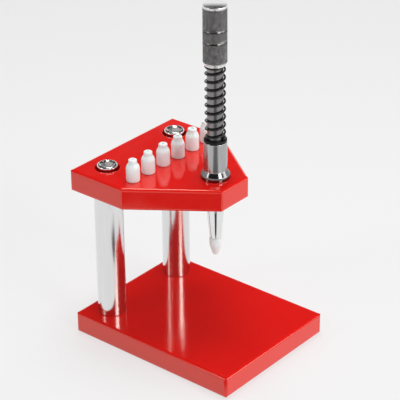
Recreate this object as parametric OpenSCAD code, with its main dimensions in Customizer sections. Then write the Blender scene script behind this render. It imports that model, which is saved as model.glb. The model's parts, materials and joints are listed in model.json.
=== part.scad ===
// Watch hand press: a sprung plunger in a guide bush presses hands onto a movement
// that lies on the base. Spare nylon dies stand on pegs on the top plate.
// The origin is the middle of the base's underside. X runs across the press, Y runs
// from the plunger at the front to the pillars at the back, and Z is up.

/* [Plates] */
// Width of the base and of the top plate
plate_w = 75; // [66:1:100]
// Depth of the base, front to back
base_d = 95; // [86:1:130]
// Thickness of the base
base_t = 11.2; // [9:0.1:16]
// Thickness of the top plate
top_t = 11.2; // [8:0.1:16]
// Depth of the top plate, from its back edge to its front edge
top_reach = 70.5; // [62:0.5:84]
// Length of the top plate's straight sides
top_side_d = 32.5; // [26:0.5:38]
// Width of the top plate's front edge
top_front_w = 19.5; // [16:0.5:30]
// Radius that rounds every plate edge
plate_edge_r = 1.5; // [0.5:0.1:2]

/* [Pillars] */
// Diameter of a pillar
pillar_d = 14; // [11:0.5:18]
// Length of a pillar, which is the clear height between the plates
pillar_len = 67.4; // [60:0.1:110]
// Distance from the plate's side edge to a pillar's axis
pillar_side_inset = 13; // [10:0.5:18]
// Distance from the back edge to a pillar's axis
pillar_back_inset = 12.5; // [10:0.5:16]
// Chamfer at the ends of a pillar
pillar_chamfer = 0.4; // [0.1:0.1:1]

/* [Cap screws] */
// Thread diameter of the cap screws
screw_d = 6; // [4:0.5:8]
// Diameter of a screw head
screw_head_d = 10; // [8.5:0.5:13]
// Height of a screw head
screw_head_h = 6; // [4:0.5:8]
// Width across flats of the hexagon socket
socket_af = 6; // [4:0.5:6.5]
// Depth of the hexagon socket
socket_depth = 3; // [1.5:0.25:4]
// Length of thread in a pillar
screw_bite = 14; // [8:1:24]
// How far the upper heads stand above the top plate
screw_proud = 2; // [0.5:0.25:3]
// How far the lower heads lie inside the base's underside
screw_sink = 0.5; // [0.2:0.1:1.5]
// Diameter of the counterbores for the heads
counterbore_d = 12; // [11:0.5:14]

/* [Guide bush] */
// Distance from the top plate's front edge to the plunger's axis
plunger_inset = 12; // [10:0.5:16]
// Diameter of the shank that is held in the top plate
bush_shank_d = 10; // [9.5:0.25:11]
// Diameter of the flange on the top plate
bush_flange_d = 14.2; // [12:0.2:17]
// Height of the flange
bush_flange_h = 4; // [2:0.25:6]
// Diameter of the barrel above the flange
bush_barrel_d = 11.2; // [10:0.2:12.8]
// Height of the barrel above the flange
bush_barrel_h = 14.8; // [10:0.2:24]
// Chamfer of the bush's outer edges
bush_chamfer = 0.5; // [0.1:0.1:0.8]

/* [Return spring and washers] */
// Outer diameter of the return spring
spring_od = 10; // [10:0.1:11]
// Diameter of the spring wire
wire_d = 0.95; // [0.7:0.05:1]
// Number of turns
spring_turns = 10; // [8:0.5:12]
// Part of a turn at each end that lies nearly flat
closed_turns = 0.5; // [0.25:0.05:0.75]
// Rise of a closed end, in mm for each turn
closed_pitch = 0.3; // [0.1:0.05:0.6]
// Angle round the axis at which the wire's lower end starts, from the right
wire_start = -90; // [-180:5:180]
// Length of the spring between its washers with the plunger up
spring_len = 36.9; // [34:0.1:46]
// Diameter of the lower washer
seat_washer_d = 11; // [9.5:0.25:12]
// Thickness of the lower washer
seat_washer_t = 1.2; // [0.6:0.1:2]
// Diameter of the upper washer
top_washer_d = 10; // [9.4:0.1:10.6]
// Thickness of the upper washer
top_washer_t = 0.8; // [0.5:0.1:1.5]

/* [Plunger] */
// Diameter of the sliding rod
rod_d = 7.7; // [6.6:0.1:7.8]
// Diameter of the rod's threaded top end, in the grip
grip_thread_d = 5; // [4:0.25:5.5]
// Length of the rod's threaded top end
grip_thread_len = 14; // [8:0.5:18]
// Diameter of the rod's threaded lower end, in the nose
nose_thread_d = 4; // [3:0.25:4.5]
// Length of the rod's threaded lower end
nose_thread_len = 8; // [5:0.5:10]
// Diameter of the nose at its shoulder, which stops against the bush
nose_top_d = 9.2; // [8.8:0.1:9.6]
// Diameter of the nose where the die meets it
nose_tip_d = 5.7; // [5:0.1:6.6]
// Length of the straight collar at the top of the nose
nose_collar_h = 1.6; // [0.5:0.1:3]
// Length of the nose
nose_len = 20.8; // [16:0.2:26]
// Travel of the plunger
stroke = 22; // [10:0.5:22]

/* [Grip] */
// Diameter over the knurl
grip_d = 11.4; // [10.8:0.2:14]
// Length of the grip
grip_len = 28.6; // [26:0.2:40]
// Height of the lower groove's middle above the grip's lower end
groove_low = 11.1; // [8:0.1:12]
// Height of the upper groove's middle above the grip's lower end
groove_high = 16.8; // [15:0.1:19]
// Width of a groove
groove_w = 1; // [0.6:0.1:1.6]
// Number of knurl teeth around the grip
knurl_teeth = 30; // [20:1:34]
// Height of one knurl diamond
knurl_pitch = 1.7; // [1.5:0.1:2.4]
// Depth of the knurl
knurl_depth = 0.3; // [0.15:0.05:0.4]
// Height of the plain collar at each end of the grip
collar_h = 1.2; // [0.9:0.1:2]
// Chamfer at each end of the grip
grip_chamfer = 0.8; // [0.3:0.05:0.9]
// Height of the slight dome on the grip's end
dome_h = 0.15; // [0.1:0.05:1]

/* [Dies] */
// Diameter of a stored die's body
die_d = 6.6; // [5.6:0.1:8]
// Height of a stored die's cylindrical body
die_body_h = 7.2; // [5.8:0.1:9]
// Height of the rounded shoulder
die_shoulder_h = 1.6; // [0.8:0.1:2]
// Height of the neck above the shoulder
die_neck_h = 2.2; // [1.8:0.1:4]
// Diameter of the slimmest neck
die_neck_d = 4; // [3.4:0.1:4.4]
// Growth of the neck from one die to the next
die_neck_step = 0.1; // [0:0.02:0.16]
// Bore at the working end of the finest die
die_hole_d = 0.6; // [0.3:0.1:1]
// Growth of that bore from one die to the next
die_hole_step = 0.22; // [0:0.02:0.3]
// Depth of the bore at the working end
die_hole_depth = 2.4; // [1:0.1:3]
// Distance from the plate's side edge to the first die's axis
die_side_inset = 10.5; // [8:0.5:12]
// Distance from the plate's back edge to the row of dies
die_row_back = 31; // [27:0.5:35]
// Diameter of a peg
peg_d = 2.4; // [1.8:0.1:2.8]
// Height of a peg above the plate
peg_h = 5; // [3:0.25:5.4]
// Depth of a peg in the plate
peg_bite = 6; // [4:0.5:7]
// Diameter of the die on the plunger
tip_d = 6; // [5.4:0.1:7]
// Length of the die on the plunger
tip_len = 9.3; // [7.8:0.1:11]
// Diameter of its working end
tip_end_d = 2.4; // [1.8:0.1:3]
// Share of its length that is cylindrical
tip_straight = 0.45; // [0.3:0.05:0.6]
// Diameter of the spigot that carries it
spigot_d = 2.4; // [1.8:0.1:2.8]
// Length of that spigot
spigot_len = 5; // [3:0.25:5.4]

/* [Clearances] */
// Radial clearance of the sliding rod
run_clear = 0.05; // [0.02:0.01:0.1]
// Radial clearance of a screwed or pressed piece
fit_clear = 0.03; // [0.01:0.01:0.05]
// Radial clearance of a screw in its plate
screw_clear = 0.3; // [0.1:0.05:0.5]
// Radial clearance of a washer on the rod
washer_clear = 0.1; // [0.05:0.05:0.3]
// Gap between the spring wire and a washer
wire_clear = 0.05; // [0.02:0.01:0.2]
// Spare depth at the bottom of a blind hole
end_clear = 0.6; // [0.2:0.1:1]

/* [Hidden] */
$fn = 64;

// Overrun of a cutting shape past the face that it cuts
over = 1;
// Small edge breaks on turned steel and nylon
edge_break = 0.3;
// Straight pieces in a turned arc
arc_steps = 8;

// Heights
top_z = base_t + pillar_len;
plate_face_z = top_z + top_t;
bush_top_z = plate_face_z + bush_flange_h + bush_barrel_h;
spring_low_z = bush_top_z + seat_washer_t;
spring_high_z = spring_low_z + spring_len;
grip_z = spring_high_z + top_washer_t;
nose_low_z = top_z - nose_len;

// Places in plan
half_w = plate_w / 2;
back_y = base_d / 2;
front_y = back_y - top_reach;
plunger_y = front_y + plunger_inset;
pillar_x = half_w - pillar_side_inset;
pillar_y = back_y - pillar_back_inset;
die_count = 6;
die_spacing = (plate_w - 2 * die_side_inset) / (die_count - 1);
die_y = back_y - die_row_back;

base_outline = [
    [-half_w, -back_y],
    [half_w, -back_y],
    [half_w, back_y],
    [-half_w, back_y]
];
top_outline = [
    [-top_front_w / 2, front_y],
    [top_front_w / 2, front_y],
    [half_w, back_y - top_side_d],
    [half_w, back_y],
    [-half_w, back_y],
    [-half_w, back_y - top_side_d]
];

// Finish colours
red_lacquer = "crimson";
chrome = "gainsboro";
ground_steel = "darkgray";
grip_steel = "dimgray";
black = "#202020";
nylon = "ivory";

// Points of an arc about a centre, for a turned or cut outline
function arc(centre, radius, from, to) = [
    for (i = [0:arc_steps])
    let (a = from + (to - from) * i / arc_steps)
    centre + radius * [cos(a), sin(a)]
];

function die_x(i) = -half_w + die_side_inset + (i - 1) * die_spacing;

// Outline of the waste outside a rounded edge, with the edge at the origin
// and the material in the first quadrant
module edge_waste(r) {
    difference() {
        translate([-over, -over])
            square(r + over);
        translate([r, r])
            circle(r);
    }
}

// Waste along one plate edge from p to q, with the material on the left
module side_waste(p, q, r) {
    run = q - p;
    translate([p.x, p.y, 0])
        rotate([0, 0, atan2(run.y, run.x)])
            translate([-over, 0, 0])
                rotate([90, 0, 90])
                    linear_extrude(norm(run) + 2 * over)
                        edge_waste(r);
}

// Waste outside the upright rounded edge at corner q, between p and s
module corner_waste(p, q, s, r, t) {
    to_p = (p - q) / norm(p - q);
    to_s = (s - q) / norm(s - q);
    half_angle = acos(to_p * to_s) / 2;
    reach = r / tan(half_angle);
    centre = q + (to_p + to_s) / norm(to_p + to_s) * r / sin(half_angle);
    outer = q - (to_p + to_s) / norm(to_p + to_s) * over;
    translate([0, 0, -over])
        linear_extrude(t + 2 * over)
            difference() {
                polygon([q + to_p * reach, outer + to_p * reach, outer,
                    outer + to_s * reach, q + to_s * reach, centre]);
                translate(centre)
                    circle(r);
            }
}

// A plate with every edge rounded, its corners given anticlockwise
module rounded_plate(corners, t, r) {
    n = len(corners);
    difference() {
        linear_extrude(t)
            polygon(corners);
        for (i = [0:n - 1]) {
            p = corners[i];
            q = corners[(i + 1) % n];
            s = corners[(i + 2) % n];
            side_waste(p, q, r);
            translate([0, 0, t])
                mirror([0, 0, 1])
                    side_waste(p, q, r);
            corner_waste(p, q, s, r, t);
        }
    }
}

// Places its children at both pillars
module at_pillars() {
    for (side = [-1, 1])
        translate([side * pillar_x, pillar_y, 0])
            children();
}

// Places its children on the plunger's axis
module on_plunger() {
    translate([0, plunger_y, 0])
        children();
}

module base_plate() {
    floor_z = screw_sink + screw_head_h;
    color(red_lacquer)
        difference() {
            rounded_plate(base_outline, base_t, plate_edge_r);
            at_pillars() {
                translate([0, 0, -over])
                    cylinder(h = floor_z + over, d = counterbore_d);
                cylinder(h = base_t + over, d = screw_d + 2 * screw_clear);
            }
        }
}

module top_plate() {
    color(red_lacquer)
        translate([0, 0, top_z])
            difference() {
                rounded_plate(top_outline, top_t, plate_edge_r);
                at_pillars() {
                    translate([0, 0, top_t + screw_proud - screw_head_h])
                        cylinder(h = screw_head_h, d = counterbore_d);
                    translate([0, 0, -over])
                        cylinder(h = top_t + over, d = screw_d + 2 * screw_clear);
                }
                on_plunger()
                    translate([0, 0, -over])
                        cylinder(h = top_t + 2 * over, d = bush_shank_d + 2 * fit_clear);
                for (i = [1:die_count])
                    translate([die_x(i), die_y, top_t - peg_bite])
                        cylinder(h = peg_bite + over, d = peg_d + 2 * fit_clear);
            }
}

// A ground pillar with a tapped hole in each end
module pillar(side) {
    r = pillar_d / 2;
    c = pillar_chamfer;
    tap_depth = screw_bite + end_clear;
    color(chrome)
        translate([side * pillar_x, pillar_y, base_t])
            difference() {
                rotate_extrude()
                    polygon([[0, 0], [r - c, 0], [r, c], [r, pillar_len - c],
                        [r - c, pillar_len], [0, pillar_len]]);
                for (z = [-over, pillar_len - tap_depth])
                    translate([0, 0, z])
                        cylinder(h = tap_depth + over, d = screw_d + 2 * fit_clear);
            }
}

// A socket head cap screw with its head on z = 0 and its thread below
module cap_screw(shank) {
    head_r = screw_head_d / 2;
    thread_r = screw_d / 2;
    e = edge_break;
    difference() {
        rotate_extrude()
            polygon([[0, -shank], [thread_r - e, -shank], [thread_r, e - shank],
                [thread_r, 0], [head_r, 0], [head_r, screw_head_h - 2 * e],
                [head_r - 2 * e, screw_head_h], [0, screw_head_h]]);
        translate([0, 0, screw_head_h - socket_depth])
            cylinder(h = socket_depth + over, d = socket_af / cos(30), $fn = 6);
        translate([0, 0, screw_head_h - e])
            cylinder(h = 2 * e, d1 = socket_af, d2 = socket_af / cos(30) + 2 * e);
    }
}

module top_screws() {
    head_z = plate_face_z + screw_proud - screw_head_h;
    color(chrome)
        at_pillars()
            translate([0, 0, head_z])
                cap_screw(head_z - top_z + screw_bite);
}

module base_screws() {
    head_z = screw_sink + screw_head_h;
    color(chrome)
        at_pillars()
            translate([0, 0, head_z])
                mirror([0, 0, 1])
                    cap_screw(base_t - head_z + screw_bite);
}

// The bush is pressed into the plate up to its flange
module guide_bush() {
    shank_r = bush_shank_d / 2;
    flange_r = bush_flange_d / 2;
    barrel_r = bush_barrel_d / 2;
    flange_z = plate_face_z + bush_flange_h;
    c = bush_chamfer;
    color(chrome)
        on_plunger()
            difference() {
                rotate_extrude()
                    polygon([[0, top_z], [shank_r, top_z], [shank_r, plate_face_z],
                        [flange_r, plate_face_z], [flange_r, flange_z - c],
                        [flange_r - c, flange_z], [barrel_r, flange_z],
                        [barrel_r, bush_top_z - c], [barrel_r - c, bush_top_z],
                        [0, bush_top_z]]);
                translate([0, 0, top_z - over])
                    cylinder(h = bush_top_z - top_z + 2 * over, d = rod_d + 2 * run_clear);
            }
}

// A flat washer on the rod, with its lower face at height z
module washer(d, t, z) {
    on_plunger()
        translate([0, 0, z])
            difference() {
                rotate_extrude()
                    polygon([[0, 0], [d / 2, 0], [d / 2, t - edge_break],
                        [d / 2 - edge_break, t], [0, t]]);
                translate([0, 0, -over])
                    cylinder(h = t + 2 * over, d = rod_d + 2 * washer_clear);
            }
}

module seat_washer() {
    color(black)
        washer(seat_washer_d, seat_washer_t, bush_top_z);
}

module top_washer() {
    color(chrome)
        washer(top_washer_d, top_washer_t, spring_high_z);
}

// The spring's centre line: closed ends, an even rise between them, and a
// straight stretch of one wire diameter at each end
rings_per_turn = 16;
wire_sides = 6;
coil_r = (spring_od - wire_d) / 2;
wire_low_z = spring_low_z + wire_clear + wire_d / 2;
wire_rise = spring_len - 2 * wire_clear - wire_d;
open_pitch = (wire_rise - 2 * closed_turns * closed_pitch) / (spring_turns - 2 * closed_turns);

function wire_height(turn) =
    wire_low_z
    + closed_pitch * min(turn, closed_turns)
    + open_pitch * (min(turn, spring_turns - closed_turns) - min(turn, closed_turns))
    + closed_pitch * max(turn - (spring_turns - closed_turns), 0);

function outward(turn) = [cos(360 * turn), sin(360 * turn), 0];

function along(turn) = [-sin(360 * turn), cos(360 * turn), 0];

function wire_point(turn) = coil_r * outward(turn) + [0, 0, wire_height(turn)];

ring_count = spring_turns * rings_per_turn;
coil_turns = [for (i = [0:ring_count]) i / rings_per_turn];
wire_path = concat(
    [wire_point(0) - wire_d * along(0)],
    [for (turn = coil_turns) wire_point(turn)],
    [wire_point(spring_turns) + wire_d * along(spring_turns)]
);
path_turns = concat([0], coil_turns, [spring_turns]);

// Corners of the wire's section, square to the way that the wire runs there
function wire_ring(i) =
    let (last = len(wire_path) - 1)
    let (run = wire_path[min(i + 1, last)] - wire_path[max(i - 1, 0)])
    let (out = outward(path_turns[i]))
    let (side = cross(run, out))
    let (up = side / norm(side))
    [for (k = [0:wire_sides - 1])
        wire_path[i] + wire_d / 2 * (cos(360 * k / wire_sides) * out
            + sin(360 * k / wire_sides) * up)];

// Least gap between stretches of wire that are more than half a turn apart
wire_gap = min([
    for (i = [1:len(wire_path) - 1])
        for (j = [i + rings_per_turn / 2 + 1:1:len(wire_path) - 1])
            norm(wire_path[i] - wire_path[j]) - wire_d
]);
echo(str("Least gap of the spring to itself: ", wire_gap, " mm"));

// Triangles round a closed end of a tube, as a fan
function fan(first, sides, turned) = [
    for (k = [1:sides - 2])
        turned ? [first, first + k + 1, first + k] : [first, first + k, first + k + 1]
];

module return_spring() {
    n = wire_sides;
    last = len(wire_path) - 1;
    color(black)
        on_plunger()
            rotate([0, 0, wire_start])
                polyhedron(
                    points = [for (i = [0:last]) each wire_ring(i)],
                    faces = concat(
                        [for (i = [0:last - 1])
                            for (k = [0:n - 1])
                                let (a = i * n + k)
                                let (b = i * n + (k + 1) % n)
                                each [[a, a + n, b], [b, a + n, b + n]]],
                        fan(0, n, false),
                        fan(last * n, n, true)
                    )
                );
}

// The rod has a threaded end for the grip and one for the nose
module spindle_rod() {
    r = rod_d / 2;
    grip_r = grip_thread_d / 2;
    nose_r = nose_thread_d / 2;
    high = grip_z + grip_thread_len;
    low = top_z - nose_thread_len;
    e = edge_break;
    color(ground_steel)
        on_plunger()
            rotate_extrude()
                polygon([[0, low], [nose_r - e, low], [nose_r, low + e], [nose_r, top_z],
                    [r, top_z], [r, grip_z], [grip_r, grip_z], [grip_r, high - e],
                    [grip_r - e, high], [0, high]]);
}

// The tapered nose is screwed on under the bush and carries the die
module spindle_nose() {
    top_r = nose_top_d / 2;
    tip_r = nose_tip_d / 2;
    spigot_r = spigot_d / 2;
    spigot_z = nose_low_z - spigot_len;
    e = edge_break;
    color(chrome)
        on_plunger()
            difference() {
                rotate_extrude()
                    polygon([[0, spigot_z], [spigot_r - e, spigot_z],
                        [spigot_r, spigot_z + e], [spigot_r, nose_low_z],
                        [tip_r, nose_low_z], [top_r, top_z - nose_collar_h],
                        [top_r, top_z - e], [top_r - e, top_z], [0, top_z]]);
                translate([0, 0, top_z - nose_thread_len - end_clear])
                    cylinder(h = nose_thread_len + end_clear + over,
                        d = nose_thread_d + 2 * fit_clear);
            }
}

// Radii of the grip: over the knurl, at the root of the knurl, of the turned body and
// of the bore of a knurled sleeve, which bites into that body
body_step = 0.15;
sleeve_bite = 0.3;
knurl_r = grip_d / 2;
root_r = knurl_r - knurl_depth;
body_r = root_r - body_step;
sleeve_r = body_r - sleeve_bite;

// A sleeve of pointed diamonds. Corners alternate between root and crest, and each
// square is split along its two root corners, so that every crest is a pyramid.
module knurl_sleeve(low, high) {
    columns = 2 * knurl_teeth;
    rows = max(2, round(2 * (high - low) / knurl_pitch));
    row_points = [
        for (k = [0:rows])
            for (m = [0:columns - 1])
                let (edge_row = k == 0 || k == rows)
                let (r = edge_row || (m + k) % 2 == 0 ? root_r : knurl_r)
                let (a = 360 * m / columns)
                [r * cos(a), r * sin(a), low + (high - low) * k / rows]
    ];
    bore_points = [
        for (z = [low, high])
            for (m = [0:columns - 1])
                let (a = 360 * m / columns)
                [sleeve_r * cos(a), sleeve_r * sin(a), z]
    ];
    bore_low = len(row_points);
    bore_high = bore_low + columns;
    top_row = rows * columns;
    polyhedron(
        points = concat(row_points, bore_points),
        faces = concat(
            [for (k = [0:rows - 1])
                for (m = [0:columns - 1])
                    let (next = (m + 1) % columns)
                    let (a = k * columns + m)
                    let (b = k * columns + next)
                    let (c = a + columns)
                    let (d = b + columns)
                    each (m + k) % 2 == 0 ? [[a, d, b], [a, c, d]] : [[a, c, b], [b, c, d]]],
            [for (m = [0:columns - 1])
                let (next = (m + 1) % columns)
                each [
                    [m, next, bore_low + m],
                    [next, bore_low + next, bore_low + m],
                    [top_row + m, bore_high + m, top_row + next],
                    [top_row + next, bore_high + m, bore_high + next],
                    [bore_low + m, bore_low + next, bore_high + m],
                    [bore_low + next, bore_high + next, bore_high + m]
                ]]
        )
    );
}

// The turned grip: a bored body with a collar at each end, and three knurled bands
module grip() {
    low = grip_z;
    high = grip_z + grip_len;
    c = grip_chamfer;
    face_r = knurl_r - c;
    dome_r = (face_r * face_r + dome_h * dome_h) / (2 * dome_h);
    dome_angle = asin(face_r / dome_r);
    color(grip_steel)
        on_plunger()
            difference() {
                union() {
                    rotate_extrude()
                        polygon(concat(
                            [[0, low], [face_r, low], [knurl_r, low + c],
                                [knurl_r, low + collar_h], [body_r, low + collar_h],
                                [body_r, high - collar_h], [knurl_r, high - collar_h],
                                [knurl_r, high - c - dome_h]],
                            arc([0, high - dome_r], dome_r, 90 - dome_angle, 90)
                        ));
                    knurl_sleeve(low + collar_h - edge_break, low + groove_low - groove_w / 2);
                    knurl_sleeve(low + groove_low + groove_w / 2,
                        low + groove_high - groove_w / 2);
                    knurl_sleeve(low + groove_high + groove_w / 2,
                        high - collar_h + edge_break);
                }
                translate([0, 0, low - over])
                    cylinder(h = grip_thread_len + end_clear + over,
                        d = grip_thread_d + 2 * fit_clear);
            }
}

// The die on the plunger: a cylinder that draws in to a small round end
module fitted_die() {
    r = tip_d / 2;
    end_r = tip_end_d / 2;
    low = nose_low_z - tip_len;
    taper_z = nose_low_z - tip_len * tip_straight;
    e = edge_break;
    color(nylon)
        on_plunger()
            difference() {
                rotate_extrude()
                    polygon(concat(
                        [[0, low]],
                        arc([end_r - 2 * e, low + 2 * e], 2 * e, 270, 330),
                        arc([r - 2 * e, taper_z], 2 * e, 340, 360),
                        [[r, nose_low_z - e], [r - e, nose_low_z], [0, nose_low_z]]
                    ));
                translate([0, 0, nose_low_z - spigot_len - end_clear])
                    cylinder(h = spigot_len + end_clear + over, d = spigot_d + 2 * fit_clear);
                translate([0, 0, low - over])
                    cylinder(h = die_hole_depth + over, d = die_hole_d);
            }
}

// A steel peg for a stored die
module die_peg(i) {
    r = peg_d / 2;
    e = edge_break;
    color(ground_steel)
        translate([die_x(i), die_y, plate_face_z])
            rotate_extrude()
                polygon([[0, -peg_bite], [r - e, -peg_bite], [r, e - peg_bite],
                    [r, peg_h - e], [r - e, peg_h], [0, peg_h]]);
}

// A stored die, with its working end up. Each one is a size larger than the last.
module stored_die(i) {
    r = die_d / 2;
    neck_r = (die_neck_d + (i - 1) * die_neck_step) / 2;
    hole_d = die_hole_d + (i - 1) * die_hole_step;
    neck_z = die_body_h + die_shoulder_h;
    high = neck_z + die_neck_h;
    e = edge_break;
    color(nylon)
        translate([die_x(i), die_y, plate_face_z])
            difference() {
                rotate_extrude()
                    polygon(concat(
                        [[0, 0], [r - e, 0], [r, e], [r, die_body_h]],
                        [for (p = arc([0, 0], 1, 0, 75))
                            [neck_r + (r - neck_r) * p.x, die_body_h + die_shoulder_h * p.y]],
                        [[neck_r, neck_z]],
                        arc([neck_r - e, high - e], e, 0, 90),
                        [[0, high]]
                    ));
                translate([0, 0, -over])
                    cylinder(h = peg_h + end_clear + over, d = peg_d + 2 * fit_clear);
                translate([0, 0, high - die_hole_depth])
                    cylinder(h = die_hole_depth + over, d = hole_d);
            }
}

base_plate();
top_plate();
pillar(-1);  // left_pillar
pillar(1);  // right_pillar
top_screws();
base_screws();
guide_bush();
seat_washer();
return_spring();
top_washer();
spindle_rod();
spindle_nose();
grip();
fitted_die();
die_peg(1);  // die_peg_1
die_peg(2);  // die_peg_2
die_peg(3);  // die_peg_3
die_peg(4);  // die_peg_4
die_peg(5);  // die_peg_5
die_peg(6);  // die_peg_6
stored_die(1);  // die_1
stored_die(2);  // die_2
stored_die(3);  // die_3
stored_die(4);  // die_4
stored_die(5);  // die_5
stored_die(6);  // die_6
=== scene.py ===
"""Watch hand press: the camera, the studio, the finishes and the finely made pieces around
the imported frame. Blender lengths are metres. Lengths of the pieces are given in millimetres
and scaled by MM, in the part's own frame."""

import json
import math

import bmesh
import bpy
from mathutils import Matrix, Vector


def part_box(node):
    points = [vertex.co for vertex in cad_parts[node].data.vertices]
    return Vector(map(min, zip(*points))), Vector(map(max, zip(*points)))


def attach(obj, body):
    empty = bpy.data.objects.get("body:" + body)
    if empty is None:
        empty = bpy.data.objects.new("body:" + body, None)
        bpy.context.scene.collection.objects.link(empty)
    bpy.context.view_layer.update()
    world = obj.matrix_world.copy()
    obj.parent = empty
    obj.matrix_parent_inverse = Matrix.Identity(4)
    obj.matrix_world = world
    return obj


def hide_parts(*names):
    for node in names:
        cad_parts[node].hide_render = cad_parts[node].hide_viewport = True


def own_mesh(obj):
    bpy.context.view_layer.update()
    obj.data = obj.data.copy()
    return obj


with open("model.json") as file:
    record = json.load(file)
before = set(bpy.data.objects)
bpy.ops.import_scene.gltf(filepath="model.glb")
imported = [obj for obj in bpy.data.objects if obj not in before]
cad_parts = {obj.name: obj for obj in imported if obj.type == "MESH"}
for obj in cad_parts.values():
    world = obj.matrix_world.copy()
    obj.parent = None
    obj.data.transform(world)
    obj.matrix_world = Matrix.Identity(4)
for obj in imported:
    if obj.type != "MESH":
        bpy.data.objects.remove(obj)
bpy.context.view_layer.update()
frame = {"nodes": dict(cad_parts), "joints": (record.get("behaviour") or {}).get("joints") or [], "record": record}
nodes = frame["nodes"]
joints = {joint["name"]: joint for joint in frame["joints"]}
MM = 0.001


# Sizes and places from the frame

def node_heights(name):
    """A node's lowest and highest points, in millimetres."""
    low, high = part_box(name)
    return low.z / MM, high.z / MM


def node_centre(name):
    """The middle of a node seen from above, in metres."""
    low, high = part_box(name)
    return ((low.x + high.x) / 2, (low.y + high.y) / 2)


def node_radius(name, centre):
    """How far a round node reaches from its axis, in millimetres."""
    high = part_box(name)[1]
    return (high.x - centre[0]) / MM


PLUNGER_Y = joints["plunger_turn"]["pos_m"][1]
AXIS = (0, PLUNGER_Y)
GRIP_R = node_radius("grip", AXIS) * MM
KNURL_DEPTH = 0.3 * MM


# Camera, fitted to the plate corners of the photograph

CAMERA_AZIMUTH = math.radians(-50.23)
CAMERA_ELEVATION = math.radians(27.74)
CAMERA_ROLL = math.radians(-0.47)
CAMERA_DISTANCE = 849.3 * MM
CAMERA_RIGHT = 0.6 * MM
CAMERA_UP = 65.3 * MM
CAMERA_LENS = 154.1
SENSOR_WIDTH = 36.0


def bearing(azimuth, elevation):
    """The direction that points from the object to a place, with angles in radians."""
    flat = math.cos(elevation)
    return Vector((math.sin(azimuth) * flat, -math.cos(azimuth) * flat, math.sin(elevation)))


def add_camera():
    back = bearing(CAMERA_AZIMUTH, CAMERA_ELEVATION)
    level = Vector((math.cos(CAMERA_AZIMUTH), math.sin(CAMERA_AZIMUTH), 0))
    upright = back.cross(level)
    right = math.cos(CAMERA_ROLL) * level + math.sin(CAMERA_ROLL) * upright
    up = back.cross(right)
    place = back * CAMERA_DISTANCE + right * CAMERA_RIGHT + up * CAMERA_UP
    data = bpy.data.cameras.new("camera")
    data.lens = CAMERA_LENS
    data.sensor_width = SENSOR_WIDTH
    data.clip_start = 0.01
    data.clip_end = 20
    camera = bpy.data.objects.new("camera", data)
    turn = Matrix((right, up, back)).transposed().to_4x4()
    camera.matrix_world = Matrix.Translation(place) @ turn
    bpy.context.scene.collection.objects.link(camera)
    bpy.context.scene.camera = camera


add_camera()


# Shader helpers

def shader_node(tree, kind, **inputs):
    """A shader node with some of its inputs set; an underscore stands for a space."""
    made = tree.nodes.new(kind)
    for key, value in inputs.items():
        made.inputs[key.replace("_", " ")].default_value = value
    return made


def object_coords(tree, scale=(1, 1, 1)):
    coords = tree.nodes.new("ShaderNodeTexCoord")
    mapping = shader_node(tree, "ShaderNodeMapping", Scale=scale)
    tree.links.new(coords.outputs["Object"], mapping.inputs["Vector"])
    return mapping.outputs["Vector"]


def noise(tree, vector, scale, detail=3.0, roughness=0.55):
    made = shader_node(tree, "ShaderNodeTexNoise", Scale=scale, Detail=detail, Roughness=roughness)
    tree.links.new(vector, made.inputs["Vector"])
    return made.outputs["Fac"]


def remap(tree, value, low, high, to_low=0.0, to_high=1.0):
    made = shader_node(tree, "ShaderNodeMapRange", From_Min=low, From_Max=high,
                       To_Min=to_low, To_Max=to_high)
    tree.links.new(value, made.inputs["Value"])
    return made.outputs["Result"]


def math_node(tree, operation, *values):
    """A maths node fed by numbers or by other nodes' outputs."""
    made = tree.nodes.new("ShaderNodeMath")
    made.operation = operation
    for socket, value in zip(made.inputs, values):
        if isinstance(value, (int, float)):
            socket.default_value = value
        else:
            tree.links.new(value, socket)
    return made.outputs[0]


# A mix node has more than one socket of each name, so those for colours go by number
MIX_FIRST = 6
MIX_SECOND = 7
MIX_RESULT = 2


def mix_colour(tree, factor, first, second):
    """Mixes two colours, each given as a tuple or as a node's output."""
    made = tree.nodes.new("ShaderNodeMix")
    made.data_type = "RGBA"
    tree.links.new(factor, made.inputs["Factor"])
    for value, key in ((first, MIX_FIRST), (second, MIX_SECOND)):
        if isinstance(value, tuple):
            made.inputs[key].default_value = (*value, 1)
        else:
            tree.links.new(value, made.inputs[key])
    return made.outputs[MIX_RESULT]


def bump(tree, height, strength, distance, under=None):
    made = shader_node(tree, "ShaderNodeBump", Strength=strength, Distance=distance)
    tree.links.new(height, made.inputs["Height"])
    if under is not None:
        tree.links.new(under, made.inputs["Normal"])
    return made.outputs["Normal"]


def edge_mask(tree, radius, low, high):
    """One along the edges of a piece and nought on its faces."""
    bevel = shader_node(tree, "ShaderNodeBevel", Radius=radius)
    bevel.samples = 6
    geometry = tree.nodes.new("ShaderNodeNewGeometry")
    dot = tree.nodes.new("ShaderNodeVectorMath")
    dot.operation = "DOT_PRODUCT"
    tree.links.new(bevel.outputs[0], dot.inputs[0])
    tree.links.new(geometry.outputs["Normal"], dot.inputs[1])
    return remap(tree, dot.outputs["Value"], high, low)


# Studio

PALE = 1.0
DIM = 0.05
# Sines of the heights between which the reflected room turns from pale to dim
DIM_FROM = (0.35, 0.425)
# The room's light on matt surfaces below and above two heights, given as sines
LIGHT_FROM = (0.5, 0.85)
LIGHT_LEVELS = (0.40, 0.42)
# How much of the floor's plain pale colour the camera and the reflections see
CAMERA_SHARE = 0.62
MIRROR_SHARE = 0.95


def seen_rays(tree, *kinds):
    """One for rays of the named kinds and nought for others."""
    path = tree.nodes.new("ShaderNodeLightPath")
    total = path.outputs[f"Is {kinds[0]} Ray"]
    for kind in kinds[1:]:
        total = math_node(tree, "MAXIMUM", total, path.outputs[f"Is {kind} Ray"])
    return total


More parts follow.
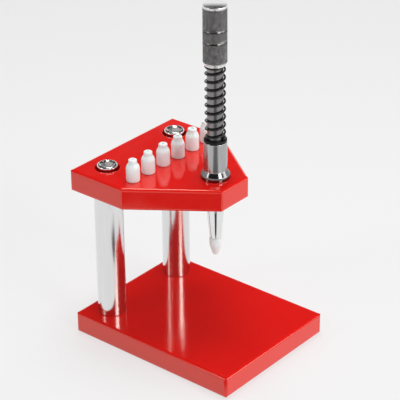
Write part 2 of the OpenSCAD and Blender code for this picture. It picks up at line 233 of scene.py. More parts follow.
def add_world():
    """Pale where the camera sees it, and in reflections pale low down and dim above."""
    world = bpy.data.worlds.new("studio")
    world.use_nodes = True
    tree = world.node_tree
    tree.nodes.clear()
    out = tree.nodes.new("ShaderNodeOutputWorld")
    light = shader_node(tree, "ShaderNodeBackground", Color=(1, 1, 1, 1))
    backdrop = shader_node(tree, "ShaderNodeBackground", Color=(PALE, PALE, PALE, 1))
    room = shader_node(tree, "ShaderNodeBackground", Color=(1, 1, 1, 1))
    coords = tree.nodes.new("ShaderNodeTexCoord")
    split = tree.nodes.new("ShaderNodeSeparateXYZ")
    tree.links.new(coords.outputs["Generated"], split.inputs[0])
    height = split.outputs["Z"]
    tree.links.new(remap(tree, height, *DIM_FROM, PALE, DIM), room.inputs["Strength"])
    tree.links.new(remap(tree, height, *LIGHT_FROM, *LIGHT_LEVELS), light.inputs["Strength"])
    first = tree.nodes.new("ShaderNodeMixShader")
    tree.links.new(seen_rays(tree, "Glossy", "Transmission"), first.inputs["Fac"])
    tree.links.new(light.outputs[0], first.inputs[1])
    tree.links.new(room.outputs[0], first.inputs[2])
    second = tree.nodes.new("ShaderNodeMixShader")
    tree.links.new(seen_rays(tree, "Camera"), second.inputs["Fac"])
    tree.links.new(first.outputs[0], second.inputs[1])
    tree.links.new(backdrop.outputs[0], second.inputs[2])
    tree.links.new(second.outputs[0], out.inputs["Surface"])
    bpy.context.scene.world = world


# Painted shade: a dark wedge of floor that only reflections see, standing in for floor with no light on it.
# The unlit wedge of floor. Distances are metres from the plunger towards the camera, and where
# two are given, the floor changes evenly from one to the other.
WEDGE_FROM = (0.056, 0.064)
WEDGE_SLOPE = 0.28
FLARE_FROM = 0.15
FLARE_SLOPE = 6.0
WEDGE_LIMIT = 0.1
WEDGE_EDGE = (0.82, 1.1)
LIT_BAND_MIDDLE = 0.121
LIT_BAND_HALF = (0.024, 0.03)
FADE_FROM = (0.17, 0.22)
FADED = 0.75
PAINTED_SHADE_GREY = 0.05
FLOOR_HALF = 3.0


def painted_shade_wedge(tree):
    """Painted shade: a dark wedge of floor in front of the press that only reflections see, but for a band."""
    coords = tree.nodes.new("ShaderNodeTexCoord")
    turn = shader_node(tree, "ShaderNodeMapping", Location=(0, -PLUNGER_Y, 0))
    spin = shader_node(tree, "ShaderNodeMapping", Rotation=(0, 0, -CAMERA_AZIMUTH))
    tree.links.new(coords.outputs["Object"], turn.inputs["Vector"])
    tree.links.new(turn.outputs["Vector"], spin.inputs["Vector"])
    split = tree.nodes.new("ShaderNodeSeparateXYZ")
    tree.links.new(spin.outputs["Vector"], split.inputs[0])
    ahead = math_node(tree, "MULTIPLY", split.outputs["Y"], -1.0)
    aside = math_node(tree, "ABSOLUTE", split.outputs["X"])
    narrow = math_node(tree, "MULTIPLY", ahead, WEDGE_SLOPE)
    flare = math_node(tree, "MULTIPLY", math_node(tree, "SUBTRACT", ahead, FLARE_FROM), FLARE_SLOPE)
    width = math_node(tree, "MINIMUM", math_node(tree, "MAXIMUM", flare, narrow), WEDGE_LIMIT)
    wedge = remap(tree, math_node(tree, "DIVIDE", aside, width), *WEDGE_EDGE, 1.0, 0.0)
    from_band = math_node(tree, "ABSOLUTE", math_node(tree, "SUBTRACT", ahead, LIT_BAND_MIDDLE))
    for share in (remap(tree, ahead, *WEDGE_FROM), remap(tree, from_band, *LIT_BAND_HALF),
                  remap(tree, ahead, *FADE_FROM, 1.0, FADED), seen_rays(tree, "Glossy")):
        wedge = math_node(tree, "MULTIPLY", wedge, share)
    return wedge


def add_floor():
    """A paper floor that keeps the press's shadow and shows in metal as an even pale grey, but for a wedge of
    painted shade in front of the press.
    """
    mesh = bpy.data.meshes.new("floor")
    corners = [(x * FLOOR_HALF, y * FLOOR_HALF, 0) for x, y in ((-1, -1), (1, -1), (1, 1), (-1, 1))]
    mesh.from_pydata(corners, [], [(0, 1, 2, 3)])
    floor = bpy.data.objects.new("floor", mesh)
    bpy.context.scene.collection.objects.link(floor)
    material = bpy.data.materials.new("floor_paper")
    material.use_nodes = True
    tree = material.node_tree
    shader = tree.nodes["Principled BSDF"]
    shader.inputs["Roughness"].default_value = 0.75
    shader.inputs["Specular IOR Level"].default_value = 0.2
    # Painted shade: where reflections see the floor dark
    wedge = painted_shade_wedge(tree)
    unlit = (PAINTED_SHADE_GREY, PAINTED_SHADE_GREY, PAINTED_SHADE_GREY)
    tree.links.new(mix_colour(tree, wedge, (0.80, 0.80, 0.805), unlit), shader.inputs["Base Color"])
    glow = shader_node(tree, "ShaderNodeEmission")
    tree.links.new(mix_colour(tree, wedge, (PALE, PALE, PALE), unlit), glow.inputs["Color"])
    seen = math_node(tree, "MULTIPLY", seen_rays(tree, "Camera"), CAMERA_SHARE)
    mirrored = math_node(tree, "MULTIPLY", seen_rays(tree, "Glossy", "Transmission"), MIRROR_SHARE)
    mix = tree.nodes.new("ShaderNodeMixShader")
    tree.links.new(math_node(tree, "MAXIMUM", seen, mirrored), mix.inputs["Fac"])
    tree.links.new(shader.outputs[0], mix.inputs[1])
    tree.links.new(glow.outputs[0], mix.inputs[2])
    tree.links.new(mix.outputs[0], tree.nodes["Material Output"].inputs["Surface"])
    mesh.materials.append(material)


LAMP_AIM = Vector((0, 0, 80 * MM))


def soft_box(name, azimuth, elevation, width, height, radiance, distance=1.5):
    """A rectangular lamp that faces the press. Its radiance doesn't depend on its size, and its
    angles are in degrees."""
    back = bearing(math.radians(azimuth), math.radians(elevation))
    data = bpy.data.lights.new(name, "AREA")
    data.shape = "RECTANGLE"
    data.size = width
    data.size_y = height
    data.energy = radiance * math.pi * width * height
    lamp = bpy.data.objects.new(name, data)
    lamp.location = back * distance + LAMP_AIM
    lamp.rotation_mode = "QUATERNION"
    lamp.rotation_quaternion = (-back).to_track_quat("-Z", "Y")
    bpy.context.scene.collection.objects.link(lamp)


add_world()
add_floor()
soft_box("key", azimuth=-10, elevation=30, width=0.5, height=0.25, radiance=11)
soft_box("side", azimuth=-119, elevation=30, width=0.34, height=0.34, radiance=5.5)
soft_box("overhead", azimuth=115, elevation=78, width=0.26, height=0.26, radiance=5.6, distance=0.5)
soft_box("fill", azimuth=18, elevation=14, width=1.4, height=0.5, radiance=2.7)


# Finishes

def new_material(name):
    material = bpy.data.materials.new(name)
    material.use_nodes = True
    return material, material.node_tree, material.node_tree.nodes["Principled BSDF"]


def red_lacquer():
    """Glossy red lacquer with an orange-peel ripple, uneven gloss and paler rubbed edges."""
    material, tree, shader = new_material("red_lacquer")
    where = object_coords(tree)
    cloud = noise(tree, where, 40)
    peel = noise(tree, where, 420, 2)
    grain = noise(tree, where, 2600, 2)
    colour = mix_colour(tree, cloud, (0.82, 0.008, 0.006), (0.86, 0.010, 0.008))
    rubbed = edge_mask(tree, 0.7 * MM, 0.90, 0.985)
    worn = math_node(tree, "MULTIPLY", rubbed, remap(tree, noise(tree, where, 160), 0.35, 0.7))
    colour = mix_colour(tree, math_node(tree, "MULTIPLY", worn, 0.35), colour, (0.86, 0.16, 0.13))
    tree.links.new(colour, shader.inputs["Base Color"])
    gloss = remap(tree, noise(tree, where, 90), 0.3, 0.7, 0.07, 0.13)
    gloss = math_node(tree, "ADD", gloss, math_node(tree, "MULTIPLY", worn, 0.12))
    tree.links.new(gloss, shader.inputs["Roughness"])
    ripple = bump(tree, peel, 0.10, 0.05 * MM)
    tree.links.new(bump(tree, grain, 0.05, 0.01 * MM, ripple), shader.inputs["Normal"])
    shader.inputs["IOR"].default_value = 1.7
    shader.inputs["Specular Tint"].default_value = (1.0, 0.93, 0.76, 1)
    return material


def chrome():
    """Polished chrome with fine turned marks and a few soft smears."""
    material, tree, shader = new_material("chrome")
    marks = noise(tree, object_coords(tree, (60, 60, 5200)), 1, 2)
    smear = noise(tree, object_coords(tree, (260, 260, 22)), 1, 3)
    colour = mix_colour(tree, smear, (0.62, 0.62, 0.63), (0.78, 0.78, 0.78))
    tree.links.new(colour, shader.inputs["Base Color"])
    shader.inputs["Metallic"].default_value = 1
    tree.links.new(remap(tree, smear, 0.3, 0.75, 0.12, 0.18), shader.inputs["Roughness"])
    around = tree.nodes.new("ShaderNodeTangent")
    around.direction_type = "RADIAL"
    around.axis = "Z"
    tree.links.new(around.outputs[0], shader.inputs["Tangent"])
    shader.inputs["Anisotropic"].default_value = 0.9
    tree.links.new(bump(tree, marks, 0.45, 0.02 * MM), shader.inputs["Normal"])
    return material


def turned_chrome():
    """The bush's chrome over turned steel: duller than the pillars, with rings round it."""
    material, tree, shader = new_material("turned_chrome")
    rings = noise(tree, object_coords(tree, (70, 70, 5600)), 1, 3)
    smear = noise(tree, object_coords(tree, (420, 420, 40)), 1, 3)
    colour = mix_colour(tree, smear, (0.30, 0.30, 0.305), (0.50, 0.50, 0.50))
    tree.links.new(colour, shader.inputs["Base Color"])
    shader.inputs["Metallic"].default_value = 1
    tree.links.new(remap(tree, rings, 0.3, 0.75, 0.12, 0.22), shader.inputs["Roughness"])
    tree.links.new(bump(tree, rings, 0.4, 0.02 * MM), shader.inputs["Normal"])
    return material


def painted_shade_chrome():
    """The bush's flange: the bush's chrome darkened as painted shade, with a soft gloss, worn in places."""
    material, tree, shader = new_material("painted_shade_chrome")
    wear = noise(tree, object_coords(tree), 460, 4)
    colour = mix_colour(tree, wear, (0.14, 0.14, 0.14), (0.24, 0.238, 0.238))
    tree.links.new(colour, shader.inputs["Base Color"])
    shader.inputs["Metallic"].default_value = 1
    tree.links.new(remap(tree, wear, 0.3, 0.75, 0.16, 0.08), shader.inputs["Roughness"])
    return material


def ground_steel():
    """Ground steel with rings round it and a grey oily bloom."""
    material, tree, shader = new_material("ground_steel")
    marks = noise(tree, object_coords(tree, (80, 80, 6500)), 1, 3)
    bloom = noise(tree, object_coords(tree), 240, 3)
    colour = mix_colour(tree, bloom, (0.15, 0.145, 0.15), (0.30, 0.29, 0.295))
    tree.links.new(colour, shader.inputs["Base Color"])
    shader.inputs["Metallic"].default_value = 1
    tree.links.new(remap(tree, marks, 0.3, 0.7, 0.18, 0.30), shader.inputs["Roughness"])
    tree.links.new(bump(tree, marks, 0.25, 0.02 * MM), shader.inputs["Normal"])
    return material


def axis_radius(tree):
    """The distance from the plunger's axis."""
    shift = shader_node(tree, "ShaderNodeMapping", Location=(0, -PLUNGER_Y, 0), Scale=(1, 1, 0))
    coords = tree.nodes.new("ShaderNodeTexCoord")
    tree.links.new(coords.outputs["Object"], shift.inputs["Vector"])
    length = tree.nodes.new("ShaderNodeVectorMath")
    length.operation = "LENGTH"
    tree.links.new(shift.outputs["Vector"], length.inputs[0])
    return length.outputs["Value"]


def grip_steel():
    """Dark steel: the crests of the knurl are rubbed brighter than its oily roots."""
    material, tree, shader = new_material("grip_steel")
    grime = noise(tree, object_coords(tree, (1, 1, 0.6)), 760, 5, 0.7)
    radius = axis_radius(tree)
    crest = remap(tree, radius, GRIP_R - KNURL_DEPTH, GRIP_R - 0.04 * MM)
    grime = remap(tree, grime, 0.33, 0.67)
    dark = mix_colour(tree, grime, (0.04, 0.038, 0.038), (0.09, 0.087, 0.087))
    bright = mix_colour(tree, grime, (0.08, 0.078, 0.078), (0.38, 0.37, 0.37))
    tree.links.new(mix_colour(tree, crest, dark, bright), shader.inputs["Base Color"])
    shader.inputs["Metallic"].default_value = 0.9
    rough = remap(tree, grime, 0, 1, 0.50, 0.34)
    rough = math_node(tree, "SUBTRACT", rough, math_node(tree, "MULTIPLY", crest, 0.10))
    tree.links.new(rough, shader.inputs["Roughness"])
    return material


def turned_steel():
    """The turned bands at the grip's ends, brighter than its knurl."""
    material, tree, shader = new_material("turned_steel")
    marks = noise(tree, object_coords(tree, (90, 90, 5200)), 1, 3)
    grime = noise(tree, object_coords(tree), 380, 3)
    colour = mix_colour(tree, grime, (0.55, 0.54, 0.54), (0.74, 0.73, 0.73))
    tree.links.new(colour, shader.inputs["Base Color"])
    shader.inputs["Metallic"].default_value = 1
    tree.links.new(remap(tree, grime, 0.3, 0.7, 0.14, 0.26), shader.inputs["Roughness"])
    tree.links.new(bump(tree, marks, 0.15, 0.015 * MM), shader.inputs["Normal"])
    return material


def polished_steel():
    """Bright polished steel for the nose and the top of the grip, with fine scratches."""
    material, tree, shader = new_material("polished_steel")
    smear = noise(tree, object_coords(tree), 300, 3)
    colour = mix_colour(tree, smear, (0.70, 0.70, 0.71), (0.82, 0.82, 0.82))
    tree.links.new(colour, shader.inputs["Base Color"])
    shader.inputs["Metallic"].default_value = 1
    tree.links.new(remap(tree, smear, 0.3, 0.7, 0.04, 0.09), shader.inputs["Roughness"])
    scratches = noise(tree, object_coords(tree, (900, 90, 90)), 1, 2)
    tree.links.new(bump(tree, scratches, 0.05, 0.01 * MM), shader.inputs["Normal"])
    return material


def groove_steel():
    """The smooth dark grooves of the grip."""
    material, tree, shader = new_material("groove_steel")
    grime = noise(tree, object_coords(tree), 520, 3)
    colour = mix_colour(tree, grime, (0.09, 0.088, 0.088), (0.17, 0.165, 0.165))
    tree.links.new(colour, shader.inputs["Base Color"])
    shader.inputs["Metallic"].default_value = 1
    tree.links.new(remap(tree, grime, 0.3, 0.7, 0.20, 0.30), shader.inputs["Roughness"])
    return material


def spring_steel():
    """Black oiled spring wire, with a faint drawn grain."""
    material, tree, shader = new_material("spring_steel")
    stain = noise(tree, object_coords(tree), 700, 3)
    colour = mix_colour(tree, stain, (0.010, 0.010, 0.011), (0.035, 0.033, 0.033))
    tree.links.new(colour, shader.inputs["Base Color"])
    shader.inputs["Metallic"].default_value = 0.3
    tree.links.new(remap(tree, stain, 0.3, 0.7, 0.12, 0.22), shader.inputs["Roughness"])
    return material


def black_washer():
    """Matt black washer with a fine grain."""
    material, tree, shader = new_material("black_washer")
    grain = noise(tree, object_coords(tree), 1800, 3)
    colour = mix_colour(tree, grain, (0.004, 0.004, 0.004), (0.010, 0.010, 0.010))
    tree.links.new(colour, shader.inputs["Base Color"])
    tree.links.new(remap(tree, grain, 0.3, 0.7, 0.35, 0.5), shader.inputs["Roughness"])
    shader.inputs["Specular IOR Level"].default_value = 0.25
    tree.links.new(bump(tree, grain, 0.3, 0.03 * MM), shader.inputs["Normal"])
    return material


def nylon():
    """Turned white nylon whose white leans cyan, painted light that cancels the red light the plates throw on it:
    light goes a little way in, and the lathe left fine rings.
    """
    material, tree, shader = new_material("nylon")
    cloud = noise(tree, object_coords(tree), 260, 3)
    rings = noise(tree, object_coords(tree, (40, 40, 4200)), 1, 2)
    # Painted light: the white leans cyan to cancel the red light bounced from the plates
    colour = mix_colour(tree, cloud, (0.88, 1.0, 0.99), (0.93, 1.0, 1.0))
    tree.links.new(colour, shader.inputs["Base Color"])
    shader.inputs["Subsurface Weight"].default_value = 0.35
    shader.inputs["Subsurface Radius"].default_value = (1.0, 0.85, 0.8)
    shader.inputs["Subsurface Scale"].default_value = 1.2 * MM
    shader.inputs["IOR"].default_value = 1.53
    tree.links.new(remap(tree, cloud, 0.3, 0.7, 0.30, 0.42), shader.inputs["Roughness"])
    tree.links.new(bump(tree, rings, 0.15, 0.02 * MM), shader.inputs["Normal"])
    return material


def socket_steel():
    """The drilled floor of the screws' sockets, duller than their heads, and pale and half matt as painted light
    that brightens the middle of the socket.
    """
    material, tree, shader = new_material("socket_steel")
    stain = noise(tree, object_coords(tree), 900, 3)
    # Painted light: a pale, half matt floor so that the middle of the socket reads bright
    colour = mix_colour(tree, stain, (0.70, 0.69, 0.69), (0.88, 0.87, 0.87))
    tree.links.new(colour, shader.inputs["Base Color"])
    shader.inputs["Metallic"].default_value = 0.3
    tree.links.new(remap(tree, stain, 0.3, 0.7, 0.38, 0.55), shader.inputs["Roughness"])
    return material


def screw_chrome():
    """Nickel plated screw steel, a little duller than the chrome."""
    material, tree, shader = new_material("screw_chrome")
    stain = noise(tree, object_coords(tree), 500, 4)
    colour = mix_colour(tree, stain, (0.60, 0.59, 0.58), (0.80, 0.79, 0.78))
    tree.links.new(colour, shader.inputs["Base Color"])
    shader.inputs["Metallic"].default_value = 1
    tree.links.new(remap(tree, stain, 0.3, 0.7, 0.12, 0.22), shader.inputs["Roughness"])
    return material


finishes = {
    make.__name__: make()
    for make in (red_lacquer, chrome, turned_chrome, painted_shade_chrome, ground_steel, grip_steel,
                 turned_steel, polished_steel, groove_steel, spring_steel, black_washer, nylon,
                 socket_steel, screw_chrome)
}


def dress_frame():
    """Gives each CAD node the finish of its slot in the record."""
    for part in frame["record"]["subparts"]:
        mesh = nodes[part["node"]].data
        mesh.materials.clear()
        mesh.materials.append(finishes[part["material_slot"]])


dress_frame()


# Mesh helpers

SHARP_ANGLE = math.radians(38)
# Vertices this close share a place, in metres
WELD_REACH = 1e-6
TURNED_SEGMENTS = 72


def add_piece(name, verts, faces, slot, body, node, materials=None, face_slots=None):
    """Makes a mesh piece that rides on a body and stands for a CAD node."""
    mesh = bpy.data.meshes.new(name)
    mesh.from_pydata(verts, [], faces)
    for finish in materials or (slot,):
        mesh.materials.append(finishes[finish])
    if face_slots:
        mesh.polygons.foreach_set("material_index", face_slots)
    made = bmesh.new()
    made.from_mesh(mesh)
    bmesh.ops.recalc_face_normals(made, faces=made.faces)
    made.to_mesh(mesh)
    made.free()
    mesh.shade_smooth()
    mesh.set_sharp_from_angle(angle=SHARP_ANGLE)
    piece = bpy.data.objects.new(name, mesh)
    bpy.context.scene.collection.objects.link(piece)
    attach(piece, body)
    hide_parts(node)
    return piece


def weld(piece):
    """Joins the vertices of a piece that share a place."""
    made = bmesh.new()
    made.from_mesh(piece.data)
    bmesh.ops.remove_doubles(made, verts=made.verts, dist=WELD_REACH)
    bmesh.ops.recalc_face_normals(made, faces=made.faces)
    made.to_mesh(piece.data)
    made.free()


def ring_faces(rings, sides):
    """Four-sided faces between each ring of vertices and the next."""
    faces = []
    for i in range(rings - 1):
        for k in range(sides):
            n = (k + 1) % sides
            a, b = i * sides, (i + 1) * sides
            faces.append((a + k, a + n, b + n, b + k))
    return faces


def soften(corners, steps=5):
    """Rounds the corners of an outline. A corner is (radius, height) or, where it is to be
    rounded, (radius, height, length cut off along each side)."""
    count = len(corners)
    outline = []
    for i, corner in enumerate(corners):
        here = Vector(corner[:2])
        if len(corner) == 2:
            outline.append(here)
            continue
        before = Vector(corners[i - 1][:2]) - here
        after = Vector(corners[(i + 1) % count][:2]) - here
        first = here + before.normalized() * corner[2]
        last = here + after.normalized() * corner[2]
        for k in range(steps + 1):
            t = k / steps
            outline.append(first * (1 - t) ** 2 + here * 2 * t * (1 - t) + last * t * t)
    return outline


def turned(outline, centre, segments):
    """Vertices and faces of a closed outline of (radius, height), turned round an axis."""
    verts = []
    rings = []
    for r, z in outline:
        if r * MM < WELD_REACH:
            rings.append([len(verts)] * segments)
            verts.append((centre[0], centre[1], z * MM))
            continue
        rings.append(list(range(len(verts), len(verts) + segments)))
        for k in range(segments):
            a = math.tau * k / segments
            verts.append((centre[0] + r * MM * math.cos(a), centre[1] + r * MM * math.sin(a), z * MM))
    faces = []
    for i, low in enumerate(rings):
        high = rings[(i + 1) % len(rings)]
        for k in range(segments):
            n = (k + 1) % segments
            face = list(dict.fromkeys((low[k], low[n], high[n], high[k])))
            if len(face) > 2:
                faces.append(face)
    return verts, faces


def turned_piece(name, corners, centre, slot, body, segments=TURNED_SEGMENTS, finish=None):
    """A lathe-made piece that stands for the CAD node of the same outline."""
    verts, faces = turned(soften(corners), centre, segments)
    return add_piece(name + "_turned", verts, faces, slot, body, name, (finish or slot,))


# Turned pieces, in millimetres

# What keeps faces apart that would touch while the plunger moves
TOUCH_GAP = 0.03
WASHER_BORE = 3.95
DIE_COUNT = 6


def make_bush():
    """A bright barrel over a flange darkened with painted shade, with its shank in the top plate."""
    low, high = node_heights("guide_bush")
    plate = node_heights("top_plate")[1]
    bore = 3.9
    shank = 5
    flange = node_radius("guide_bush", AXIS)
    barrel = 5.6
    neck = plate + 4.3
    bush = turned_piece("guide_bush", [
        (bore, low), (shank - 0.3, low), (shank, low + 0.3), (shank, plate), (flange, plate, 0.3),
        (flange, plate + 1.9, 0.5), (barrel + 0.02, neck, 0.15),
        (barrel, high, 0.45), (bore + 0.4, high, 0.2), (bore, high - 0.3),
    ], AXIS, "chrome", "frame", 96, "turned_chrome")
    bush.data.materials.append(finishes["painted_shade_chrome"])
    # Painted shade: the flange's faces take a darkened copy of the bush's chrome
    for face in bush.data.polygons:
        if plate < face.center.z / MM < neck - 0.05:
            face.material_index = 1


def make_washer(name, rounding, slot, body):
    """A flat ring, its outer lower, outer upper and inner upper edges rounded."""
    low, high = node_heights(name)
    radius = node_radius(name, AXIS)
    under, rim, mouth = rounding
    turned_piece(name, [
        (WASHER_BORE, low), (radius, low, under), (radius, high, rim), (WASHER_BORE, high, mouth),
    ], AXIS, slot, body)


def make_nose():
    """A taper with a spigot for its die below and a blind hole for the rod above."""
    low, high = node_heights("spindle_nose")
    high -= TOUCH_GAP
    shoulder = node_heights("fitted_die")[1]
    spigot = 1.2
    tip = 2.85
    head = node_radius("spindle_nose", AXIS)
    hole = 2.03
    hole_end = high - 8.4
    turned_piece("spindle_nose", [
        (0, low), (spigot, low, 0.2), (spigot, shoulder), (tip, shoulder, 0.25),
        (head, high - 1.6, 0.5), (head, high, 0.35), (hole, high), (hole, hole_end),
        (0, hole_end - 0.2),
    ], AXIS, "chrome", "plunger", 96, "polished_steel")


def make_tip():
    """The pointed die on the nose, with the spigot's hole above and a fine bore below."""
    low, high = node_heights("fitted_die")
    body = node_radius("fitted_die", AXIS)
    point = 1.2
    hole = 1.2
    hole_end = high - 5.5
    bore = 0.3
    bore_end = low + 2.2
    turned_piece("fitted_die", [
        (hole, hole_end), (0, hole_end - 0.2), (0, bore_end + 0.2), (bore, bore_end), (bore, low),
        (point, low, 0.5), (body, high - 4.2, 1.2), (body, high, 0.5), (hole + 0.05, high, 0.1),
    ], AXIS, "nylon", "fitted_die", 80)


def make_stored_dies():
    """The dies on the pegs, each with a slightly wider neck and bore than the one before."""
    hole = 1.25
    for i in range(DIE_COUNT):
        name = f"die_{i + 1}"
        low, high = node_heights(name)
        centre = node_centre(name)
        body = node_radius(name, centre)
        neck = 2 + 0.05 * i
        bore = 0.3 + 0.11 * i
        shoulder = low + 7.2
        neck_start = low + 8.8
        hole_end = low + 5.6
        bore_end = high - 2.4
        turned_piece(name, [
            (hole, hole_end), (hole, low), (body, low, 0.6), (body, shoulder, 1.1),
            (neck + 0.3, neck_start, 0.4), (neck, neck_start + 0.5, 0.25), (neck, high, 0.6),
            (bore, high, 0.08), (bore, bore_end), (0, bore_end - 0.2), (0, hole_end + 0.3),
        ], centre, "nylon", f"stored_die_{i + 1}")


make_bush()
make_washer("seat_washer", (0.2, 0.4, 0.2), "black_washer", "frame")
make_washer("top_washer", (0.15, 0.25, 0.1), "chrome", "spring_cap")
make_nose()
make_tip()
make_stored_dies()


# Cap screws, in millimetres

SHANK_R = 3
HEAD_R = 5
HEAD_H = 6
HEAD_SEGMENTS = 96
RIM_STEPS = 6
SERRATION = 0.14
# How far the socket's corners are from its middle: it is 6 mm across its flats
SOCKET_R = 6 / math.sqrt(3)
SOCKET_DEPTH = 3
ROUND, SERRATED, HEXAGON = range(3)


def hexagon_radius(corner, angle):
    """How far a hexagon's side is from its middle at an angle, where its corners are corner off."""
    third = math.pi / 3
    inside = (angle % third) - third / 2
    return corner * math.cos(third / 2) / math.cos(inside)


def cap_screw(shank, centre, seat, way):
    """Vertices and faces of a screw: its shank, serrated head with a rounded rim and socket."""
    floor = HEAD_H - SOCKET_DEPTH
    rings = [(0, -shank, ROUND), (SHANK_R - 0.4, -shank, ROUND), (SHANK_R, 0.5 - shank, ROUND),
             (SHANK_R, 0, ROUND), (HEAD_R - 0.2, 0, ROUND),
             (HEAD_R, 0.25, SERRATED), (HEAD_R, HEAD_H - 1.3, SERRATED)]
    for k in range(RIM_STEPS + 1):
        a = math.pi / 2 * k / RIM_STEPS
        rings.append((HEAD_R - 0.95 * (1 - math.cos(a)), HEAD_H - 1.0 + math.sin(a), ROUND))
    rings += [(3.85, HEAD_H, ROUND), (SOCKET_R, HEAD_H - 0.55, HEXAGON), (SOCKET_R, floor, HEXAGON),
              (0.8, floor - 0.9, ROUND), (0, floor - 1.0, ROUND)]
    verts = []
    for r, z, shape in rings:
        for k in range(HEAD_SEGMENTS):
            a = math.tau * k / HEAD_SEGMENTS
            radius = r
            if shape == SERRATED and k % 2:
                radius = r - SERRATION
            if shape == HEXAGON:
                radius = hexagon_radius(r, a)
            verts.append(((centre[0] + radius * math.cos(a)) * MM,
                          (centre[1] + radius * math.sin(a)) * MM, (seat + way * z) * MM))
    return verts, ring_faces(len(rings), HEAD_SEGMENTS)


def make_screws(name, way):
    """A pair of screws in one node; way is 1 where their heads are up and -1 where down."""
    low, high = node_heights(name)
    seat = high - HEAD_H if way > 0 else low + HEAD_H
    shank = seat - low if way > 0 else high - seat
    reach = node_radius(name, AXIS) - HEAD_R
    back = node_centre(name)[1] / MM
    verts = []
    faces = []
    slots = []
    for centre in ((-reach, back), (reach, back)):
        more, sides = cap_screw(shank, centre, seat, way)
        faces += [tuple(len(verts) + i for i in side) for side in sides]
        floor = len(sides) - 2 * HEAD_SEGMENTS
        slots += [int(i >= floor) for i in range(len(sides))]
        verts += more
    weld(add_piece(name + "_fine", verts, faces, "screw_chrome", "frame", name,
                   ("screw_chrome", "socket_steel"), slots))


make_screws("top_screws", 1)
make_screws("base_screws", -1)


# Return spring, in millimetres

WIRE_R = 0.475
COIL_R = 4.525
COIL_START = math.radians(-90)
COIL_TURNS = 10
CLOSED_TURNS = 0.5
CLOSED_PITCH = 0.3
TURN_STEPS = 40
WIRE_SIDES = 14
# The steps whose heights are averaged, so that the rise changes softly
EASING = (-3, -1, 0, 1, 3)


def spring_path(low, high):
    """Points along the middle of the wire: closed ends and an even rise between them."""
    upper = COIL_TURNS - CLOSED_TURNS
    pitch = (high - low - 2 * CLOSED_TURNS * CLOSED_PITCH) / (COIL_TURNS - 2 * CLOSED_TURNS)

    def height(turn):
        return (low + CLOSED_PITCH * min(turn, CLOSED_TURNS)
                + pitch * (min(turn, upper) - min(turn, CLOSED_TURNS))
                + CLOSED_PITCH * max(turn - upper, 0))

    path = []
    for i in range(COIL_TURNS * TURN_STEPS + 1):
        near = [height(min(max((i + d) / TURN_STEPS, 0), COIL_TURNS)) for d in EASING]
        a = COIL_START + math.tau * i / TURN_STEPS
        path.append(Vector((COIL_R * math.cos(a), COIL_R * math.sin(a), sum(near) / len(near))))
    return path


def make_spring():
    """A round black wire wound between its washers."""
    low, high = node_heights("return_spring")
    path = spring_path(low + WIRE_R, high - TOUCH_GAP - WIRE_R)
    last = len(path) - 1
    verts = []
    for i, point in enumerate(path):
        run = (path[min(i + 1, last)] - path[max(i - 1, 0)]).normalized()
        out = Vector((point.x, point.y, 0)).normalized()
        up = run.cross(out)
        for k in range(WIRE_SIDES):
            a = math.tau * k / WIRE_SIDES
            at = point + WIRE_R * (math.cos(a) * out + math.sin(a) * up)
            verts.append((at.x * MM, at.y * MM + PLUNGER_Y, at.z * MM))
    faces = ring_faces(len(path), WIRE_SIDES)
    faces.append(tuple(range(WIRE_SIDES)))
    faces.append(tuple(range(last * WIRE_SIDES, (last + 1) * WIRE_SIDES)))
    spring = add_piece("return_spring_wound", verts, faces, "spring_steel", "frame", "return_spring")
    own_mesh(spring)


make_spring()


# Grip, in millimetres

CREST = GRIP_R / MM
ROOT = CREST - KNURL_DEPTH / MM
KNURL_TEETH = 30
TOOTH_STEPS = 6
KNURL_RISE = 1.4
GRIP_COLUMNS = KNURL_TEETH * TOOTH_STEPS
# Heights of the two grooves above the grip's lower end, and half the band that each takes
GROOVES = (11.1, 16.8)
GROOVE_HALF = 0.6
DOME_R = 5.3
DOME_H = 0.12
DOME_STEPS = 8
GRIP_FINISHES = ("grip_steel", "turned_steel", "polished_steel", "groove_steel")
KNURLED, TURNED, POLISHED, GROOVED = range(4)


def plain_rings(points):
    """Rings of (radius, height, whether the knurl cuts into it) that it leaves whole."""
    return [(r, z, False) for r, z in points]


def knurl_rings(first, last):
    """Rings of a knurled band between two heights, whole at its ends."""
    rows = round((last - first) / KNURL_RISE * TOOTH_STEPS)
    return [(CREST, first + (last - first) * k / rows, 0 < k < rows) for k in range(rows + 1)]


def groove_rings(middle):
    """A shallow groove with a short upper and a long lower side, which catches the light."""
    return plain_rings([
        (ROOT, middle - 0.5), (CREST - 0.04, middle - 0.42), (CREST - 0.10, middle - 0.30),
        (CREST - 0.42, middle + 0.22), (CREST - 0.44, middle + 0.34),
        (CREST - 0.10, middle + 0.45), (ROOT, middle + 0.5),
    ])


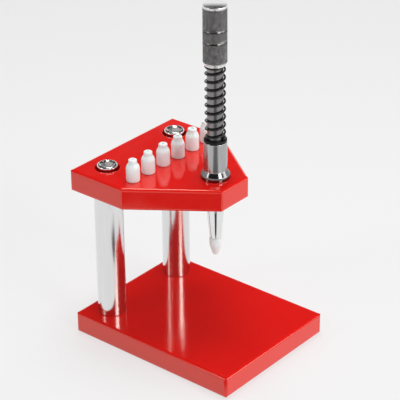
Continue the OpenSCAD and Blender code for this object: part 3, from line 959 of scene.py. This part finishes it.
def grip_rings(low, high):
    """Rings up the grip: bottom band, knurl cut by two grooves, top band and a flat dome."""
    rings = plain_rings([
        (2.6, low), (4.85, low), (5.25, low + 0.08), (5.45, low + 0.3), (5.52, low + 0.95),
        (CREST, low + 1.05), (ROOT, low + 1.1),
    ])
    start = low + 1.15
    for groove_height in GROOVES:
        middle = low + groove_height
        rings += knurl_rings(start, middle - GROOVE_HALF)
        rings += groove_rings(middle)
        start = middle + GROOVE_HALF
    rings += knurl_rings(start, high - 1.65)
    rings += plain_rings([
        (ROOT, high - 1.6), (CREST - 0.02, high - 1.52), (CREST - 0.03, high - 0.85),
        (CREST - 0.08, high - 0.56), (CREST - 0.20, high - 0.30), (DOME_R, high - 0.16),
    ])
    shares = [1 - k / DOME_STEPS for k in range(DOME_STEPS + 1)]
    return rings + plain_rings([(DOME_R * share, high - DOME_H * share ** 2) for share in shares])


def knurl_cut(turns):
    """Depth of one family of knurl grooves, nought on a crest and one in a root."""
    return abs(2 * (turns % 1) - 1)


def smooth_finish(z, low, high):
    """The finish of the grip's smooth face that starts at a height."""
    if z > high - 0.2:
        return POLISHED
    if low + 2 < z < high - 2:
        return GROOVED
    return TURNED


def make_grip():
    """The knurled grip: each tooth a pyramid between two families of crossing grooves."""
    low, high = node_heights("grip")
    rings = grip_rings(low, high)
    verts = []
    for r, z, cut in rings:
        for m in range(GRIP_COLUMNS):
            a = math.tau * m / GRIP_COLUMNS
            radius = r
            if cut:
                along = (z - low) / KNURL_RISE
                around = m / TOOTH_STEPS
                radius -= (CREST - ROOT) * max(knurl_cut(around + along), knurl_cut(around - along))
            verts.append((radius * MM * math.cos(a), radius * MM * math.sin(a) + PLUNGER_Y, z * MM))
    slots = []
    for (_, z, cut), (_, _, next_cut) in zip(rings, rings[1:]):
        finish = KNURLED if cut or next_cut else smooth_finish(z, low, high)
        slots += [finish] * GRIP_COLUMNS
    faces = ring_faces(len(rings), GRIP_COLUMNS)
    faces.append(tuple(range(GRIP_COLUMNS)))
    slots.append(TURNED)
    weld(add_piece("grip_knurled", verts, faces, "grip_steel", "plunger", "grip",
                   GRIP_FINISHES, slots))


make_grip()


bpy.context.scene.view_settings.view_transform = "Standard"
